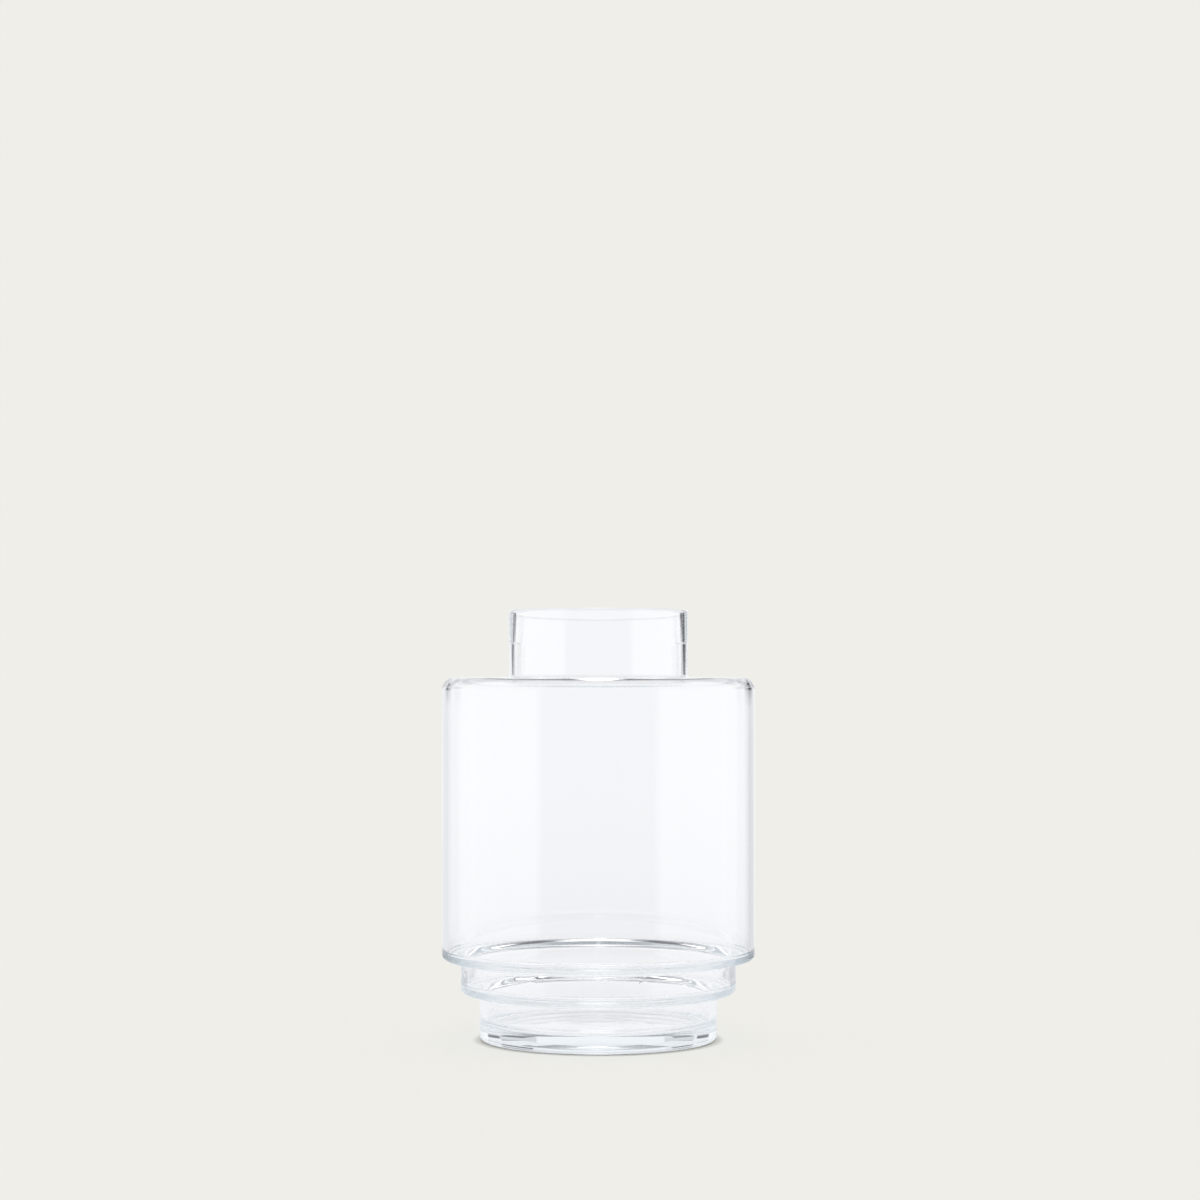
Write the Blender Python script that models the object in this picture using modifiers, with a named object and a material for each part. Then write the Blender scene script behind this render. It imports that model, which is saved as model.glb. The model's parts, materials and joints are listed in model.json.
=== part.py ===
"""Stepped glass cylinder vase for cut flowers: a wide body on two smaller steps, with a flat
shoulder and a short wide neck.

The real vase is one piece of clear glass with nothing that moves. It is modelled here as its
eight natural zones, from the base up, so that each stays a simple turned ring. Every zone is a
profile turned about Z. The zones meet on level planes with a hair of clearance between them.

Metres, +Z up. The origin is the centre of the ring that the vase stands on.
"""

import math

import bpy

# Heights above the surface that the vase stands on
OVERALL_HEIGHT = 0.2334
SHOULDER_HEIGHT = 0.1967
UPPER_LEDGE_HEIGHT = 0.0437
LOWER_LEDGE_HEIGHT = 0.0255

# Outer radii
BODY_RADIUS = 0.0850
UPPER_STEP_RADIUS = 0.0748
LOWER_STEP_RADIUS = 0.0645
RIM_RADIUS = 0.0490
NECK_FOOT_RADIUS = 0.0485

# Glass thicknesses
BASE_THICKNESS = 0.0090
LOWER_STEP_WALL = 0.0040
UPPER_STEP_WALL = 0.0036
LEDGE_WALL = 0.0036
BODY_WALL = 0.0032
SHOULDER_WALL = 0.0020
NECK_FOOT_WALL = 0.0020
RIM_WALL = 0.0042

# Rounded corners
FOOT_CORNER = 0.0030
LEDGE_CORNER = 0.0030
LEDGE_FILLET = 0.0020
SHOULDER_CORNER = 0.0070
NECK_FILLET = 0.0015
FLOOR_FILLET = 0.0040
INNER_FILLET = 0.0020

# Underside: a shallow hollow inside a flat standing ring
STANDING_RING_WIDTH = 0.0055
PUNT_DEPTH = 0.0018
PUNT_POINTS = 4

ZONE_GAP = 0.0003
SEGMENTS = 48
SMALL_ARC_STEPS = 3
SHOULDER_ARC_STEPS = 5
RIM_ARC_STEPS = 6
SHARP_ANGLE = math.radians(40)
MERGE_DISTANCE = 0.00005

GLASS_COLOUR = (0.93, 0.97, 0.98, 1.0)
GLASS_ROUGHNESS = 0.02
GLASS_IOR = 1.5
GLASS_ALPHA = 0.35


def arc(centre, radius, start_degrees, end_degrees, steps=SMALL_ARC_STEPS):
    """Points (r, z) along an arc. 0 degrees points away from the axis and 90 points up."""
    points = []
    for step in range(steps + 1):
        angle = math.radians(start_degrees + (end_degrees - start_degrees) * step / steps)
        r = centre[0] + radius * math.cos(angle)
        z = centre[1] + radius * math.sin(angle)
        points.append((r, z))
    return points


def glass_material(name):
    """Clear, smooth soda-lime glass."""
    material = bpy.data.materials.new(name)
    material.use_nodes = True
    shader = material.node_tree.nodes["Principled BSDF"]
    shader.inputs["Base Color"].default_value = GLASS_COLOUR
    shader.inputs["Metallic"].default_value = 0.0
    shader.inputs["Roughness"].default_value = GLASS_ROUGHNESS
    shader.inputs["IOR"].default_value = GLASS_IOR
    shader.inputs["Transmission Weight"].default_value = 1.0
    shader.inputs["Alpha"].default_value = GLASS_ALPHA
    return material


def turned(name, profile, collection, closed=True):
    """A solid turned about Z from (r, z) points.

    The points run down the outer side, in along the bottom, up the inner side and out along
    the top. An open profile starts and ends on the axis.
    """
    vertices = [(r, 0.0, z) for r, z in profile]
    edges = [(index, index + 1) for index in range(len(profile) - 1)]
    if closed:
        edges.append((len(profile) - 1, 0))
    mesh = bpy.data.meshes.new(name)
    mesh.from_pydata(vertices, edges, [])
    zone = bpy.data.objects.new(name, mesh)
    collection.objects.link(zone)

    screw = zone.modifiers.new("Turn", "SCREW")
    screw.axis = "Z"
    screw.angle = math.tau
    screw.steps = SEGMENTS
    screw.render_steps = SEGMENTS
    screw.use_smooth_shade = True
    screw.use_merge_vertices = True
    screw.merge_threshold = MERGE_DISTANCE

    turn_solid(zone)
    zone.data.materials.append(glass_material(name + "_glass"))
    return zone


def turn_solid(zone):
    """Apply the turning, so that shading can be set on the faces that it makes."""
    graph = bpy.context.evaluated_depsgraph_get()
    mesh = bpy.data.meshes.new_from_object(zone.evaluated_get(graph))
    zone.modifiers.clear()
    profile_mesh = zone.data
    zone.data = mesh
    mesh.name = zone.name
    bpy.data.meshes.remove(profile_mesh)
    mesh.shade_smooth()
    mesh.set_sharp_from_angle(angle=SHARP_ANGLE)


def base_disc(collection):
    """The thick floor: flat inside, with a shallow hollow and a flat standing ring below."""
    ring_outer = LOWER_STEP_RADIUS - FOOT_CORNER
    ring_inner = ring_outer - STANDING_RING_WIDTH
    profile = [(0.0, BASE_THICKNESS), (LOWER_STEP_RADIUS, BASE_THICKNESS)]
    profile += arc((ring_outer, FOOT_CORNER), FOOT_CORNER, 0, -90)
    for index in range(PUNT_POINTS + 1):
        share = 1 - index / PUNT_POINTS
        profile.append((ring_inner * share, PUNT_DEPTH * (1 - share**2)))
    return turned("base_disc", profile, collection, closed=False)


def lower_step(collection):
    """The smallest ring of wall, standing on the base, with a fillet round the floor."""
    outer = LOWER_STEP_RADIUS
    inner = LOWER_STEP_RADIUS - LOWER_STEP_WALL
    bottom = BASE_THICKNESS + ZONE_GAP
    top = LOWER_LEDGE_HEIGHT - LEDGE_FILLET
    profile = [(outer, top), (outer, bottom)]
    profile += arc((inner - FLOOR_FILLET, bottom + FLOOR_FILLET), FLOOR_FILLET, -90, 0)
    profile.append((inner, top))
    return turned("lower_step", profile, collection)


def ledge(name, height, lower, upper, collection):
    """A level ring of glass where one (radius, wall) steps out to the next."""
    lower_radius, lower_wall = lower
    upper_radius, upper_wall = upper
    lip = lower_radius - lower_wall
    shelf = height + LEDGE_WALL
    bottom = height - LEDGE_FILLET + ZONE_GAP
    top = shelf + INNER_FILLET
    profile = [(upper_radius, top)]
    profile += arc((upper_radius - LEDGE_CORNER, height + LEDGE_CORNER), LEDGE_CORNER, 0, -90)
    fillet_centre = (lower_radius + LEDGE_FILLET, height - LEDGE_FILLET)
    profile += arc(fillet_centre, LEDGE_FILLET, 90, 180)[:-1]
    profile += [(lower_radius, bottom), (lip, bottom)]
    profile += arc((lip + LEDGE_CORNER, shelf - LEDGE_CORNER), LEDGE_CORNER, 180, 90)
    inner = upper_radius - upper_wall
    profile += arc((inner - INNER_FILLET, top), INNER_FILLET, -90, 0)
    return turned(name, profile, collection)


def wall(name, radius, thickness, bottom, top, collection):
    """A plain upright ring of wall."""
    inner = radius - thickness
    profile = [(radius, top), (radius, bottom), (inner, bottom), (inner, top)]
    return turned(name, profile, collection)


def shoulder(collection):
    """The flat top of the body, from its round outer corner in to the foot of the neck."""
    bottom = SHOULDER_HEIGHT - SHOULDER_CORNER
    top = SHOULDER_HEIGHT + NECK_FILLET
    underside = SHOULDER_HEIGHT - SHOULDER_WALL
    corner = (BODY_RADIUS - SHOULDER_CORNER, bottom)
    inner_corner = SHOULDER_CORNER - SHOULDER_WALL
    bore = NECK_FOOT_RADIUS - NECK_FOOT_WALL
    fillet_centre = (NECK_FOOT_RADIUS + NECK_FILLET, top)
    bore_centre = (bore + NECK_FILLET, underside + NECK_FILLET)
    inner_centre = (BODY_RADIUS - BODY_WALL - inner_corner, bottom)
    profile = arc(fillet_centre, NECK_FILLET, 180, 270)
    profile += arc(corner, SHOULDER_CORNER, 90, 0, SHOULDER_ARC_STEPS)
    profile += arc(inner_centre, inner_corner, 0, 90)
    profile += arc(bore_centre, NECK_FILLET, 270, 180)
    profile.append((bore, top))
    return turned("shoulder", profile, collection)


def neck(collection):
    """The short neck, a little wider at its rounded rim than at its foot."""
    bottom = SHOULDER_HEIGHT + NECK_FILLET + ZONE_GAP
    rim_curve = RIM_WALL / 2
    rim_centre = (RIM_RADIUS - rim_curve, OVERALL_HEIGHT - rim_curve)
    foot_inner = NECK_FOOT_RADIUS - NECK_FOOT_WALL
    profile = [(NECK_FOOT_RADIUS, bottom), (foot_inner, bottom)]
    profile += arc(rim_centre, rim_curve, 180, 0, RIM_ARC_STEPS)
    return turned("neck", profile, collection)


def build():
    for obj in list(bpy.data.objects):
        bpy.data.objects.remove(obj, do_unlink=True)
    collection = bpy.data.collections.new("glass_cylinder_vase")
    bpy.context.scene.collection.children.link(collection)

    lower = (LOWER_STEP_RADIUS, LOWER_STEP_WALL)
    upper = (UPPER_STEP_RADIUS, UPPER_STEP_WALL)
    body = (BODY_RADIUS, BODY_WALL)
    ledge_top = LEDGE_WALL + INNER_FILLET + ZONE_GAP

    base_disc(collection)
    lower_step(collection)
    ledge("lower_ledge", LOWER_LEDGE_HEIGHT, lower, upper, collection)
    step_bottom = LOWER_LEDGE_HEIGHT + ledge_top
    step_top = UPPER_LEDGE_HEIGHT - LEDGE_FILLET
    wall("upper_step", *upper, step_bottom, step_top, collection)
    ledge("upper_ledge", UPPER_LEDGE_HEIGHT, upper, body, collection)
    body_bottom = UPPER_LEDGE_HEIGHT + ledge_top
    body_top = SHOULDER_HEIGHT - SHOULDER_CORNER - ZONE_GAP
    wall("body_wall", *body, body_bottom, body_top, collection)
    shoulder(collection)
    neck(collection)


build()
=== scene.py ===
import json
import math

import bmesh
import bpy
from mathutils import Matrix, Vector


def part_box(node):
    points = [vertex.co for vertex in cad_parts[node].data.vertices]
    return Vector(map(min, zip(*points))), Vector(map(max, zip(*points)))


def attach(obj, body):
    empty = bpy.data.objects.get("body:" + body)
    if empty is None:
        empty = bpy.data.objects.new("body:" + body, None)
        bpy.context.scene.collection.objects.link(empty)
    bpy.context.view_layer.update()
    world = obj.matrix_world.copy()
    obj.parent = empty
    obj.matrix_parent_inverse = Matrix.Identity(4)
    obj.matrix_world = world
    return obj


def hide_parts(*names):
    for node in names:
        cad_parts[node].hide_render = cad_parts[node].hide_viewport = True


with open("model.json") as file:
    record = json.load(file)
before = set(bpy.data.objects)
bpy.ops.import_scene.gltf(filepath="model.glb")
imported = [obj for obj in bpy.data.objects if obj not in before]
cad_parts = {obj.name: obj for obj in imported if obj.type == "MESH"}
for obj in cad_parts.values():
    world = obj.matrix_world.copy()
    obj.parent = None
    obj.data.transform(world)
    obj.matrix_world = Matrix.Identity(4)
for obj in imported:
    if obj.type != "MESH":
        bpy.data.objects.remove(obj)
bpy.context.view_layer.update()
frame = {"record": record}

# ---------------------------------------------------------------------------------------------
# Sizes of the glass, in metres, read from the frame
# ---------------------------------------------------------------------------------------------


def radius_of(node):
    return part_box(node)[1].x


def top_of(node):
    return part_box(node)[1].z


LEDGE_FILLET = 0.0020
LEDGE_CORNER = 0.0030
FOOT_CORNER = 0.0030
SHOULDER_CORNER = 0.0070
NECK_FILLET = 0.0015
NECK_SPREAD = 0.0005

HEIGHT = top_of("neck")
SHOULDER = top_of("shoulder") - NECK_FILLET
UPPER_LEDGE = top_of("upper_step") + LEDGE_FILLET
LOWER_LEDGE = top_of("lower_step") + LEDGE_FILLET
FLOOR = top_of("base_disc")

BODY_RADIUS = radius_of("body_wall")
UPPER_STEP_RADIUS = radius_of("upper_step")
LOWER_STEP_RADIUS = radius_of("lower_step")
RIM_RADIUS = radius_of("neck")
NECK_FOOT_RADIUS = RIM_RADIUS - NECK_SPREAD

BODY_WALL = 0.0032
UPPER_STEP_WALL = 0.0036
LOWER_STEP_WALL = 0.0040
LEDGE_WALL = 0.0036
SHOULDER_WALL = 0.0020
NECK_FOOT_WALL = 0.0020
RIM_WALL = 0.0042

# The neck's bore tapers in two straight stages, which meet this share of the way up
FLARE_SHARE = 0.5
FLARE_POWER = 1.9
FLARE_ROUND = 0.02

STANDING_RING = 0.0055
PUNT_DEPTH = 0.0018
PUNT_BEND_SHARE = 0.5
PUNT_BEND_DEPTH = PUNT_DEPTH * 0.85
PUNT_BEND_ROUND = 0.0150
PUNT_EDGE_ROUND = 0.0040

RIM_OUTER_ROUND = 0.0013
RIM_INNER_ROUND = 0.0017
BORE_FOOT_ROUND = 0.0030
CEILING_ROUND = 0.0050
SHELF_FILLET = 0.0025
SHELF_LIP_ROUND = 0.0034
FLOOR_FILLET = 0.0040

# ---------------------------------------------------------------------------------------------
# The vase
# ---------------------------------------------------------------------------------------------

TURN_STEPS = 192
ARC_DEGREES = 4.0
LEAST_ARC_STEPS = 3
ROW_SPACING = 0.0085
GUARD_ROW = 0.00015
ON_AXIS = 1e-6


def outline():
    """The glass's whole outline as corners (r, z, corner radius).

    It runs from the middle of the underside, up the outside, over the rim and down the inside
    to the middle of the floor.
    """
    ring_inner = LOWER_STEP_RADIUS - FOOT_CORNER - STANDING_RING
    shelf_low = LOWER_LEDGE + LEDGE_WALL
    shelf_high = UPPER_LEDGE + LEDGE_WALL
    ceiling = SHOULDER - SHOULDER_WALL
    lower_bore = LOWER_STEP_RADIUS - LOWER_STEP_WALL
    upper_bore = UPPER_STEP_RADIUS - UPPER_STEP_WALL
    body_bore = BODY_RADIUS - BODY_WALL
    neck_bore = NECK_FOOT_RADIUS - NECK_FOOT_WALL
    rim_bore = RIM_RADIUS - RIM_WALL
    flare_wall = NECK_FOOT_WALL + (RIM_WALL - NECK_FOOT_WALL) * FLARE_SHARE**FLARE_POWER
    flare_radius = NECK_FOOT_RADIUS + (RIM_RADIUS - NECK_FOOT_RADIUS) * FLARE_SHARE
    flare_height = SHOULDER + (HEIGHT - SHOULDER) * FLARE_SHARE
    outside = [
        (0.0, PUNT_DEPTH, 0.0),
        (ring_inner * PUNT_BEND_SHARE, PUNT_BEND_DEPTH, PUNT_BEND_ROUND),
        (ring_inner, 0.0, PUNT_EDGE_ROUND),
        (LOWER_STEP_RADIUS, 0.0, FOOT_CORNER),
        (LOWER_STEP_RADIUS, LOWER_LEDGE, LEDGE_FILLET),
        (UPPER_STEP_RADIUS, LOWER_LEDGE, LEDGE_CORNER),
        (UPPER_STEP_RADIUS, UPPER_LEDGE, LEDGE_FILLET),
        (BODY_RADIUS, UPPER_LEDGE, LEDGE_CORNER),
        (BODY_RADIUS, SHOULDER, SHOULDER_CORNER),
        (NECK_FOOT_RADIUS, SHOULDER, NECK_FILLET),
        (RIM_RADIUS, HEIGHT, RIM_OUTER_ROUND),
    ]
    inside = [
        (rim_bore, HEIGHT, RIM_INNER_ROUND),
        (flare_radius - flare_wall, flare_height, FLARE_ROUND),
        (neck_bore, ceiling, BORE_FOOT_ROUND),
        (body_bore, ceiling, CEILING_ROUND),
        (body_bore, shelf_high, SHELF_FILLET),
        (upper_bore, shelf_high, SHELF_LIP_ROUND),
        (upper_bore, shelf_low, SHELF_FILLET),
        (lower_bore, shelf_low, SHELF_LIP_ROUND),
        (lower_bore, FLOOR, FLOOR_FILLET),
        (0.0, FLOOR, 0.0),
    ]
    return outside, inside


def rounded(corners):
    """Points (r, z) along the corners, each corner replaced by an arc of its radius."""
    points = [Vector(corners[0][:2])]
    for before, here, after in zip(corners, corners[1:], corners[2:]):
        corner = Vector(here[:2])
        arrive = (Vector(before[:2]) - corner).normalized()
        leave = (Vector(after[:2]) - corner).normalized()
        half_angle = arrive.angle(leave) / 2
        reach = here[2] / math.tan(half_angle)
        start = corner + arrive * reach
        end = corner + leave * reach
        centre = corner + (arrive + leave).normalized() * (here[2] / math.sin(half_angle))
        turn = math.pi - 2 * half_angle
        steps = max(LEAST_ARC_STEPS, math.ceil(math.degrees(turn) / ARC_DEGREES))
        for step in range(steps + 1):
            share = step / steps
            first = math.sin((1 - share) * turn) / math.sin(turn)
            second = math.sin(share * turn) / math.sin(turn)
            points.append(centre + (start - centre) * first + (end - centre) * second)
    points.append(Vector(corners[-1][:2]))
    return points


def with_rows(points):
    """The same outline with rows along its straight runs, and a guard row beside each arc."""
    rows = [points[0]]
    for start, end in zip(points, points[1:]):
        length = (end - start).length
        if length > ROW_SPACING / 2:
            guard = GUARD_ROW / length
            count = max(2, math.ceil(length / ROW_SPACING))
            shares = [guard]
            shares += [step / count for step in range(1, count)]
            shares += [1 - guard]
            rows += [start.lerp(end, share) for share in shares]
        rows.append(end)
    return rows


def turned_mesh(name, rows):
    """A closed mesh turned about Z from rows (r, z) that start and end on the axis."""
    work = bmesh.new()
    rings = []
    for r, z in rows:
        if r < ON_AXIS:
            rings.append([work.verts.new((0.0, 0.0, z))])
            continue
        ring = []
        for step in range(TURN_STEPS):
            angle = math.tau * step / TURN_STEPS
            ring.append(work.verts.new((r * math.cos(angle), r * math.sin(angle), z)))
        rings.append(ring)
    for low, high in zip(rings, rings[1:]):
        for step in range(TURN_STEPS):
            after = (step + 1) % TURN_STEPS
            if len(low) == 1:
                work.faces.new((low[0], high[after], high[step]))
            elif len(high) == 1:
                work.faces.new((low[step], low[after], high[0]))
            else:
                work.faces.new((low[step], low[after], high[after], high[step]))
    mesh = bpy.data.meshes.new(name)
    bmesh.ops.recalc_face_normals(work, faces=work.faces)
    work.to_mesh(mesh)
    work.free()
    mesh.shade_smooth()
    return mesh


def make_vase():
    outside, inside = outline()
    rows = with_rows(rounded(outside + inside))
    mesh = turned_mesh("vase", rows)
    vase = bpy.data.objects.new("vase", mesh)
    bpy.context.scene.collection.objects.link(vase)
    mesh.materials.append(glass_material())
    return vase


# ---------------------------------------------------------------------------------------------
# Glass
# ---------------------------------------------------------------------------------------------

GLASS_IOR = 1.5
TINT = (0.25, 0.58, 0.74, 1.0)
TINT_DENSITY = 0.85

# The standing ring is scuffed from its face up to here
SCUFF_FADE = (0.0006, 0.0002)
SCUFF_GRAIN = 900.0
SCUFF_ROUGHNESS = 0.5

# Ripples, in metres of height, on the inside of the two steps between these levels
RIPPLE_SCALE = 75.0
RIPPLE_STRETCH = 1.4
RIPPLE_DISTORTION = 0.6
RIPPLE_EDGES = (0.50, 0.80)
RIPPLE_HEIGHT = 0.00004
RIPPLE_FROM = (0.0085, 0.0110)
RIPPLE_UP_TO = (0.0440, 0.0400)
SKIN_EDGES = (0.001, 0.003)
LEDGE_FADE = 0.001

# A slow swell over the whole vase
SWELL_SCALE = 22.0
SWELL_STRETCH = 0.5
SWELL_HEIGHT = 0.00006


def link(tree, output, target):
    tree.links.new(output, target)


def calculate(tree, operation, *values):
    """A Math node. Each value is a number or another node's output."""
    node = tree.nodes.new("ShaderNodeMath")
    node.operation = operation
    for socket, value in zip(node.inputs, values):
        if isinstance(value, (int, float)):
            socket.default_value = value
        else:
            link(tree, value, socket)
    return node.outputs[0]


def smooth_step(tree, value, low, high):
    """0 below low, 1 above high, eased between. low may be above high, which turns it round."""
    node = tree.nodes.new("ShaderNodeMapRange")
    node.interpolation_type = "SMOOTHSTEP"
    link(tree, value, node.inputs["Value"])
    node.inputs["From Min"].default_value = min(low, high)
    node.inputs["From Max"].default_value = max(low, high)
    node.inputs["To Min"].default_value = 0.0 if low < high else 1.0
    node.inputs["To Max"].default_value = 1.0 if low < high else 0.0
    return node.outputs[0]


def blend_colour(tree, share, first, second):
    """first where share is 0 and second where it is 1. Each is a colour or an output."""
    node = tree.nodes.new("ShaderNodeMix")
    node.data_type = "RGBA"
    if isinstance(share, (int, float)):
        node.inputs["Factor"].default_value = share
    else:
        link(tree, share, node.inputs["Factor"])
    for socket, value in ((node.inputs[6], first), (node.inputs[7], second)):
        if isinstance(value, tuple):
            socket.default_value = (*value, 1.0)
        else:
            link(tree, value, socket)
    return node.outputs[2]


def noise_texture(tree, where, scale, stretch, detail, distortion):
    """A noise node's 0..1 value. stretch squeezes its pattern along Z."""
    mapping = tree.nodes.new("ShaderNodeMapping")
    link(tree, where, mapping.inputs["Vector"])
    mapping.inputs["Scale"].default_value = (1.0, 1.0, stretch)
    node = tree.nodes.new("ShaderNodeTexNoise")
    link(tree, mapping.outputs[0], node.inputs["Vector"])
    node.inputs["Scale"].default_value = scale
    node.inputs["Detail"].default_value = detail
    node.inputs["Distortion"].default_value = distortion
    return node.outputs[0]


def inside_of(tree, radius, outer_radius):
    """1 well inside a wall's outer radius and 0 at it, so that only the inner side is marked."""
    skin_low, skin_high = SKIN_EDGES
    return smooth_step(tree, radius, outer_radius - skin_low, outer_radius - skin_high)


def bumps(tree, where):
    """The height of the ripples inside the steps and of the swell, in metres."""
    axes = tree.nodes.new("ShaderNodeSeparateXYZ")
    link(tree, where, axes.inputs[0])
    height = axes.outputs["Z"]
    across = calculate(tree, "MULTIPLY", axes.outputs["X"], axes.outputs["X"])
    depth = calculate(tree, "MULTIPLY", axes.outputs["Y"], axes.outputs["Y"])
    radius = calculate(tree, "SQRT", calculate(tree, "ADD", across, depth))

    above = smooth_step(tree, height, *RIPPLE_FROM)
    below = smooth_step(tree, height, *RIPPLE_UP_TO)
    stepped = calculate(tree, "MULTIPLY", above, below)
    lower = inside_of(tree, radius, LOWER_STEP_RADIUS)
    on_upper = smooth_step(tree, height, LOWER_LEDGE, LOWER_LEDGE + LEDGE_FADE)
    upper = calculate(tree, "MULTIPLY", on_upper, inside_of(tree, radius, UPPER_STEP_RADIUS))
    inside = calculate(tree, "MULTIPLY", stepped, calculate(tree, "MAXIMUM", lower, upper))

    ripple = noise_texture(tree, where, RIPPLE_SCALE, RIPPLE_STRETCH, 1.0, RIPPLE_DISTORTION)
    ripple = smooth_step(tree, ripple, *RIPPLE_EDGES)
    ripple = calculate(tree, "MULTIPLY", ripple, RIPPLE_HEIGHT)
    ripple = calculate(tree, "MULTIPLY", ripple, inside)
    swell = noise_texture(tree, where, SWELL_SCALE, SWELL_STRETCH, 1.0, 0.0)
    swell = calculate(tree, "MULTIPLY", swell, SWELL_HEIGHT)
    return calculate(tree, "ADD", ripple, swell)


def glass_material():
    """Clear glass, a little wavy, tinted where it is thick and scuffed where it stands."""
    material = bpy.data.materials.new("clear_glass")
    material.use_nodes = True
    tree = material.node_tree
    shader = tree.nodes["Principled BSDF"]
    shader.inputs["Base Color"].default_value = (1.0, 1.0, 1.0, 1.0)
    shader.inputs["IOR"].default_value = GLASS_IOR
    shader.inputs["Transmission Weight"].default_value = 1.0
    where = tree.nodes.new("ShaderNodeTexCoord").outputs["Object"]

    axes = tree.nodes.new("ShaderNodeSeparateXYZ")
    link(tree, where, axes.inputs[0])
    scuff = smooth_step(tree, axes.outputs["Z"], *SCUFF_FADE)
    grain = noise_texture(tree, where, SCUFF_GRAIN, 1.0, 3.0, 0.0)
    grain = calculate(tree, "MULTIPLY", grain, SCUFF_ROUGHNESS)
    roughness = calculate(tree, "MULTIPLY", scuff, grain)
    link(tree, roughness, shader.inputs["Roughness"])

    bump = tree.nodes.new("ShaderNodeBump")
    bump.inputs["Distance"].default_value = 1.0
    link(tree, bumps(tree, where), bump.inputs["Height"])
    link(tree, bump.outputs[0], shader.inputs["Normal"])

    absorption = tree.nodes.new("ShaderNodeVolumeAbsorption")
    absorption.inputs["Color"].default_value = TINT
    absorption.inputs["Density"].default_value = TINT_DENSITY
    link(tree, absorption.outputs[0], tree.nodes["Material Output"].inputs["Volume"])
    return material


# ---------------------------------------------------------------------------------------------
# Stage: floor, world, camera
# ---------------------------------------------------------------------------------------------

BACKDROP = (0.8632, 0.8550, 0.8148)
TABLE_WHITE = (0.895, 0.905, 0.925)
NEAR_FLOOR_RADIUS = 0.30
FAR_FLOOR_RADIUS = 30.0
FLOOR_DROP = 0.0002
FLOOR_SIDES = 96
# Painted contact shadow: CONTACT_SHADE is the dark colour the floor is painted towards around
# the vase's foot, placed by ambient occlusion reaching CONTACT_REACH with CONTACT_SAMPLES rays
CONTACT_SHADE = (0.26, 0.25, 0.23)
CONTACT_REACH = 0.005
CONTACT_SAMPLES = 8


def floor_material():
    """Pale paper: warm, with a painted contact shadow at the vase's foot, as the camera sees it
    directly, and white as the glass sees it.
    """
    material = bpy.data.materials.new("pale_floor")
    material.use_nodes = True
    tree = material.node_tree
    tree.nodes.clear()
    output = tree.nodes.new("ShaderNodeOutputMaterial")
    diffuse = tree.nodes.new("ShaderNodeBsdfDiffuse")
    path = tree.nodes.new("ShaderNodeLightPath")
    # Painted shadow: ambient occlusion darkens the floor's colour towards CONTACT_SHADE where
    # the vase is close, for camera rays only
    near = tree.nodes.new("ShaderNodeAmbientOcclusion")
    near.samples = CONTACT_SAMPLES
    near.inputs["Distance"].default_value = CONTACT_REACH
    painted_contact_shadow = blend_colour(tree, near.outputs["AO"], CONTACT_SHADE, BACKDROP)
    colour = blend_colour(tree, path.outputs["Is Camera Ray"], TABLE_WHITE, painted_contact_shadow)
    link(tree, colour, diffuse.inputs["Color"])
    link(tree, diffuse.outputs[0], output.inputs["Surface"])
    return material


def make_floor(name, inner, outer, material):
    mesh = bpy.data.meshes.new(name)
    work = bmesh.new()
    capped = inner == 0
    bmesh.ops.create_circle(work, cap_ends=capped, segments=FLOOR_SIDES, radius=outer)
    if inner:
        rim = list(work.verts)
        hole = bmesh.ops.create_circle(
            work, cap_ends=False, segments=FLOOR_SIDES, radius=inner
        )["verts"]
        for index in range(len(rim)):
            after = (index + 1) % len(rim)
            work.faces.new((rim[index], rim[after], hole[after], hole[index]))
    work.to_mesh(mesh)
    work.free()
    floor = bpy.data.objects.new(name, mesh)
    floor.location.z = -FLOOR_DROP
    mesh.materials.append(material)
    bpy.context.scene.collection.objects.link(floor)
    return floor


# Soft panels of light as the glass sees them. Each is its middle and half width round the vase,
# in degrees from straight behind it with the right side positive, its lowest and highest
# elevation, how soft its edge is, and its colour.
PANELS = (
    ((0, 180), (-90, -4.5), 5, (0.885, 0.895, 0.915)),
    ((0, 180), (32, 90), 8, (0.30, 0.31, 0.33)),
    ((0, 60), (20, 34), 4, (0.50, 0.51, 0.53)),
    ((0, 20), (32, 46), 2, (0.70, 0.71, 0.73)),
    ((0, 12), (32, 90), 2, (0.15, 0.15, 0.17)),
    ((0, 7), (20, 80), 2, (1.60, 1.60, 1.60)),
    ((14, 7), (28, 45), 2, (0.75, 0.76, 0.78)),
    ((-14, 7), (28, 45), 2, (0.75, 0.76, 0.78)),
    ((5.5, 2.5), (28, 45), 1, (0.10, 0.10, 0.12)),
    ((-5.5, 2.5), (28, 45), 1, (0.10, 0.10, 0.12)),
    ((25, 11), (-9, 0), 3, (0.72, 0.73, 0.76)),
    ((-25, 11), (-9, 0), 3, (0.80, 0.81, 0.84)),
    ((24, 12), (-9, -6.2), 1, (0.50, 0.53, 0.58)),
    ((-24, 12), (-9, -6.2), 1, (0.55, 0.58, 0.62)),
    ((32, 9.5), (-0.4, 19), 1, (0.01, 0.01, 0.02)),
    ((-33, 6.5), (-0.4, 19), 1, (0.12, 0.13, 0.15)),
    ((32, 11), (5.2, 10.8), 1, (0.70, 0.71, 0.74)),
    ((-32, 9), (5.2, 10.8), 1, (0.70, 0.71, 0.74)),
)
SURROUND = (0.945, 0.955, 0.975)
# The panels that show only where the glass reflects them: the darker room on the near side,
# a dark flag beyond each corner of the base, and a softbox on each side
REFLECTED = (
    ((180, 46), (-90, 32), 6, (0.70, 0.71, 0.73)),
    ((-180, 46), (-90, 32), 6, (0.70, 0.71, 0.73)),
    ((54, 11), (5.4, 9.6), 2, (0.10, 0.10, 0.12)),
    ((-54, 11), (5.4, 9.6), 2, (0.10, 0.10, 0.12)),
    ((96, 38), (-10, 50), 2, (1.06, 1.07, 1.09)),
    ((-96, 38), (-10, 50), 2, (1.06, 1.07, 1.09)),
)


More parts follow.
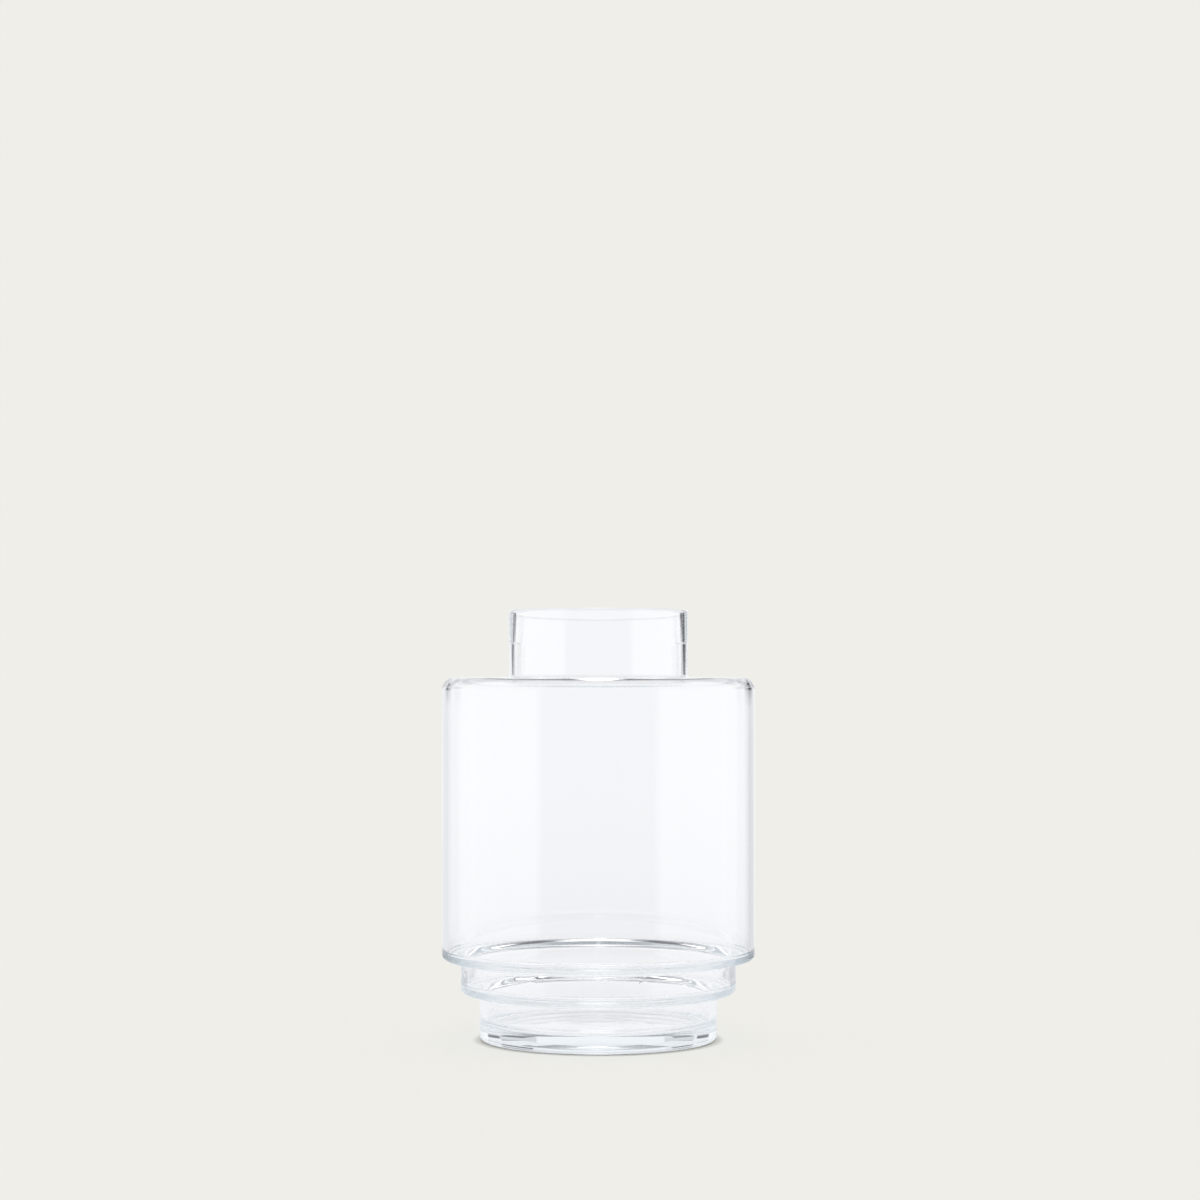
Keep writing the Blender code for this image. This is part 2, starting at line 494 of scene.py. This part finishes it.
def add_panel(tree, colour, azimuth, elevation, panel):
    """Adds one soft panel of light to a world colour."""
    (middle, half_width), (low, high), soft, light = panel
    offset = calculate(tree, "SUBTRACT", azimuth, math.radians(middle))
    offset = calculate(tree, "ABSOLUTE", offset)
    edge = math.radians(half_width)
    bottom = math.radians(low)
    top = math.radians(high)
    fade = math.radians(soft) / 2
    across = smooth_step(tree, offset, edge + fade, edge - fade)
    above = smooth_step(tree, elevation, bottom - fade, bottom + fade)
    below = smooth_step(tree, elevation, top + fade, top - fade)
    mask = calculate(tree, "MULTIPLY", across, calculate(tree, "MULTIPLY", above, below))
    return blend_colour(tree, mask, colour, light)


def make_world():
    world = bpy.data.worlds.new("soft_studio")
    bpy.context.scene.world = world
    world.use_nodes = True
    world.cycles.sampling_method = "NONE"
    tree = world.node_tree
    background = tree.nodes["Background"]
    where = tree.nodes.new("ShaderNodeTexCoord").outputs["Generated"]
    axes = tree.nodes.new("ShaderNodeSeparateXYZ")
    link(tree, where, axes.inputs[0])
    azimuth = calculate(tree, "ARCTAN2", axes.outputs["X"], axes.outputs["Y"])
    elevation = calculate(tree, "ARCSINE", axes.outputs["Z"])
    path = tree.nodes.new("ShaderNodeLightPath")
    seen = SURROUND
    for entry in PANELS:
        seen = add_panel(tree, seen, azimuth, elevation, entry)
    mirrored = seen
    for entry in REFLECTED:
        mirrored = add_panel(tree, mirrored, azimuth, elevation, entry)
    reflected = calculate(tree, "MINIMUM", path.outputs["Glossy Depth"], 1.0)
    seen = blend_colour(tree, reflected, seen, mirrored)
    off_floor = calculate(tree, "MINIMUM", path.outputs["Diffuse Depth"], 1.0)
    even = blend_colour(tree, off_floor, seen, (1.0, 1.0, 1.0))
    final = blend_colour(tree, path.outputs["Is Camera Ray"], even, BACKDROP)
    link(tree, final, background.inputs["Color"])


CAMERA_DISTANCE = 1.50
CAMERA_HEIGHT = 0.2005
CAMERA_ASIDE = 0.0009
LENS = 82.7
CAMERA_SHIFT = 0.0586
SENSOR_WIDTH = 36.0
LIGHT_BOUNCES = 128


def make_camera():
    data = bpy.data.cameras.new("camera")
    data.sensor_width = SENSOR_WIDTH
    data.lens = LENS
    data.shift_y = CAMERA_SHIFT
    camera = bpy.data.objects.new("camera", data)
    camera.location = (CAMERA_ASIDE, -CAMERA_DISTANCE, CAMERA_HEIGHT)
    camera.rotation_euler = (math.radians(90), 0.0, 0.0)
    bpy.context.scene.collection.objects.link(camera)
    bpy.context.scene.camera = camera


make_camera()
make_world()
bpy.context.scene.view_settings.view_transform = "Standard"

# Light guided inside the glass walls goes black with fewer bounces
cycles = bpy.context.scene.cycles
cycles.blur_glossy = 0.0
cycles.max_bounces = LIGHT_BOUNCES
cycles.glossy_bounces = LIGHT_BOUNCES
cycles.transmission_bounces = LIGHT_BOUNCES

paper = floor_material()
make_floor("floor_near", 0.0, NEAR_FLOOR_RADIUS, paper)
far_floor = make_floor("floor_far", NEAR_FLOOR_RADIUS, FAR_FLOOR_RADIUS, paper)
far_floor.visible_glossy = False
far_floor.visible_transmission = False

vase = make_vase()
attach(vase, "root")
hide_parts(*(entry["node"] for entry in frame["record"]["subparts"]))
